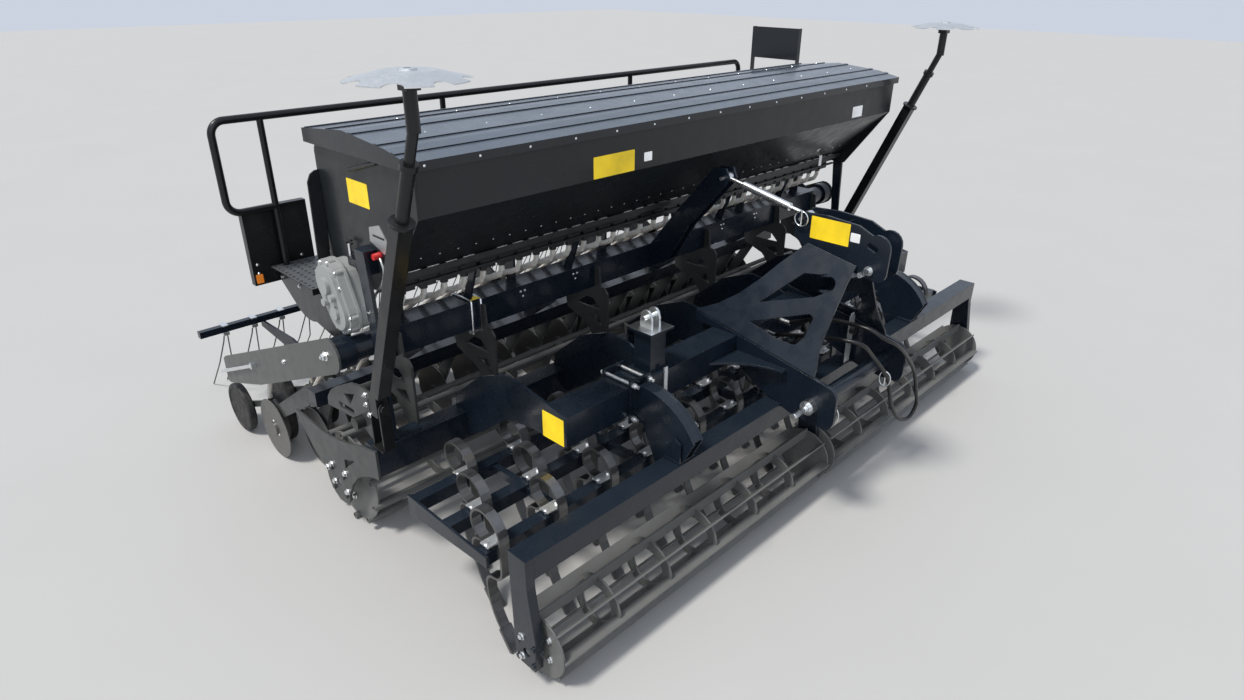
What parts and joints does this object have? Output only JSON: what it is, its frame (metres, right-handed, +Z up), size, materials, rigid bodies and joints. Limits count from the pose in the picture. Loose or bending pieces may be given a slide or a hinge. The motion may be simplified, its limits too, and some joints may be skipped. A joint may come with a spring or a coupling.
{
  "type": "mounted seed drill with cultivator",
  "caption": "Tractor-mounted seed drill with a spring-tine cultivator, front and rear rollers, long hopper with lid, disc coulters, press wheels, harrow and folded row markers",
  "frame": {"origin": "on the ground, centred under the machine's overall box", "axes": "+X runs across the machine, +Y points to its rear, away from the tractor, +Z is up"},
  "size_m": [4.2442, 3.7102, 2.227],
  "materials": {
    "navy_paint": "gloss dark navy paint",
    "anthracite_paint": "satin anthracite paint",
    "grey_paint": "satin mid grey paint",
    "black_paint": "satin black paint",
    "bare_steel": "ground spring steel, lightly oiled",
    "zinc_plate": "zinc plated",
    "black_rubber": "matt tyre rubber",
    "pale_tube": "milky seed hose",
    "black_plastic": "moulded"
  },
  "bodies": {
    "frame": {"lower_arms": "navy_paint", "cheeks": "navy_paint", "mast": "navy_paint", "lower_pins": "zinc_plate", "top_link_pin": "zinc_plate", "turnbuckle": "zinc_plate", "box_beam": "navy_paint", "post": "navy_paint", "beam_clamps": "zinc_plate", "front_arms": "navy_paint", "front_beam": "anthracite_paint", "front_legs": "anthracite_paint", "link_arms": "navy_paint", "tine_frame": "navy_paint", "tines_front": "bare_steel", "tines_middle": "bare_steel", "tines_rear": "bare_steel", "tine_clamps": "zinc_plate", "roller_beam": "navy_paint", "roller_end_plates": "grey_paint", "drill_brackets": "grey_paint", "side_posts": "navy_paint", "drill_beam": "navy_paint", "coulter_bar": "navy_paint", "coulters_front": "grey_paint", "coulters_rear": "grey_paint", "seed_tubes": "pale_tube", "hopper_front": "anthracite_paint", "hopper_rear": "anthracite_paint", "hopper_ends": "anthracite_paint", "metering_units": "black_plastic", "gearbox": "grey_paint", "centre_stay": "navy_paint", "platform": "anthracite_paint", "platform_brackets": "anthracite_paint", "handrail": "black_paint", "rear_boards": "black_paint", "harrow_arms": "grey_paint", "harrow_bar": "navy_paint", "harrow_tines": "bare_steel", "marker_pivots": "black_paint", "hydraulic_hose": "black_rubber"},
    "front_roller_right": {"front_roller_right": "grey_paint"},
    "front_roller_left": {"front_roller_left": "grey_paint"},
    "tube_roller": {"tube_roller": "grey_paint"},
    "front_discs": {"discs_front": "bare_steel"},
    "rear_discs": {"discs_rear": "bare_steel"},
    "front_press_wheels": {"press_wheels_front": "black_rubber"},
    "rear_press_wheels": {"press_wheels_rear": "black_rubber"},
    "lid": {"lid": "anthracite_paint"},
    "ladder": {"ladder": "anthracite_paint"},
    "right_marker_arm": {"marker_arm_right": "black_paint"},
    "left_marker_arm": {"marker_arm_left": "black_paint"},
    "right_marker_disc": {"marker_disc_right": "zinc_plate"},
    "left_marker_disc": {"marker_disc_left": "zinc_plate"},
    "right_strut_barrel": {"strut_barrel_right": "black_paint"},
    "left_strut_barrel": {"strut_barrel_left": "black_paint"},
    "right_strut_rod": {"strut_rod_right": "zinc_plate"},
    "left_strut_rod": {"strut_rod_left": "zinc_plate"}
  },
  "joints": [
    {"name": "right_front_roller_turn", "type": "hinge", "parent": "frame", "child": "front_roller_right", "pos_m": [-0.96, -1.53096, 0.158], "axis": [1, 0, 0], "continuous": true},
    {"name": "left_front_roller_turn", "type": "hinge", "parent": "frame", "child": "front_roller_left", "pos_m": [0.96, -1.53096, 0.158], "axis": [1, 0, 0], "continuous": true},
    {"name": "tube_roller_turn", "type": "hinge", "parent": "frame", "child": "tube_roller", "pos_m": [0, -0.12696, 0.25], "axis": [1, 0, 0], "continuous": true},
    {"name": "front_discs_turn", "type": "hinge", "parent": "frame", "child": "front_discs", "pos_m": [0, 0.44004, 0.175], "axis": [1, 0, 0], "continuous": true},
    {"name": "rear_discs_turn", "type": "hinge", "parent": "frame", "child": "rear_discs", "pos_m": [0, 0.70304, 0.175], "axis": [1, 0, 0], "continuous": true},
    {"name": "front_press_wheels_turn", "type": "hinge", "parent": "frame", "child": "front_press_wheels", "pos_m": [0, 0.86004, 0.15], "axis": [1, 0, 0], "continuous": true},
    {"name": "rear_press_wheels_turn", "type": "hinge", "parent": "frame", "child": "rear_press_wheels", "pos_m": [0, 1.12304, 0.15], "axis": [1, 0, 0], "continuous": true},
    {"name": "lid_opening", "type": "hinge", "parent": "frame", "child": "lid", "pos_m": [0, -0.83896, 1.862], "axis": [1, 0, 0], "range_deg": [0, 75]},
    {"name": "ladder_folding", "type": "hinge", "parent": "frame", "child": "ladder", "pos_m": [1.922, 0.19004, 1.182], "axis": [0, 1, 0], "range_deg": [0, 150]},
    {"name": "right_marker_folding", "type": "hinge", "parent": "frame", "child": "right_marker_arm", "pos_m": [-1.925, -0.54596, 0.826], "axis": [0, -1, 0], "range_deg": [0, 117]},
    {"name": "right_marker_disc_turn", "type": "hinge", "parent": "right_marker_arm", "child": "right_marker_disc", "pos_m": [-1.925, -1.05613, 2.221], "axis": [0, 0, 1], "continuous": true},
    {"name": "left_marker_folding", "type": "hinge", "parent": "frame", "child": "left_marker_arm", "pos_m": [1.925, -0.54596, 0.826], "axis": [0, 1, 0], "range_deg": [0, 117]},
    {"name": "left_marker_disc_turn", "type": "hinge", "parent": "left_marker_arm", "child": "left_marker_disc", "pos_m": [1.925, -1.05613, 2.221], "axis": [0, 0, 1], "continuous": true},
    {"name": "right_strut_swing", "type": "hinge", "parent": "frame", "child": "right_strut_barrel", "pos_m": [-1.824, -0.37996, 1.786], "axis": [1, 0, 0], "range_deg": [-16, 1]},
    {"name": "right_strut_reach", "type": "slide", "parent": "right_strut_barrel", "child": "right_strut_rod", "axis": [0, -0.962, 0.2731], "range_m": [0, 0.16]},
    {"name": "left_strut_swing", "type": "hinge", "parent": "frame", "child": "left_strut_barrel", "pos_m": [1.824, -0.37996, 1.786], "axis": [1, 0, 0], "range_deg": [-16, 1]},
    {"name": "left_strut_reach", "type": "slide", "parent": "left_strut_barrel", "child": "left_strut_rod", "axis": [0, -0.962, 0.2731], "range_m": [0, 0.16]}
  ],
  "couplings": [
    {"joint": "right_strut_swing", "follows": "lid_opening", "ratio": -0.2},
    {"joint": "left_strut_swing", "follows": "lid_opening", "ratio": -0.2},
    {"joint": "right_strut_reach", "follows": "lid_opening", "m_per_rad": 0.12},
    {"joint": "left_strut_reach", "follows": "lid_opening", "m_per_rad": 0.12}
  ]
}
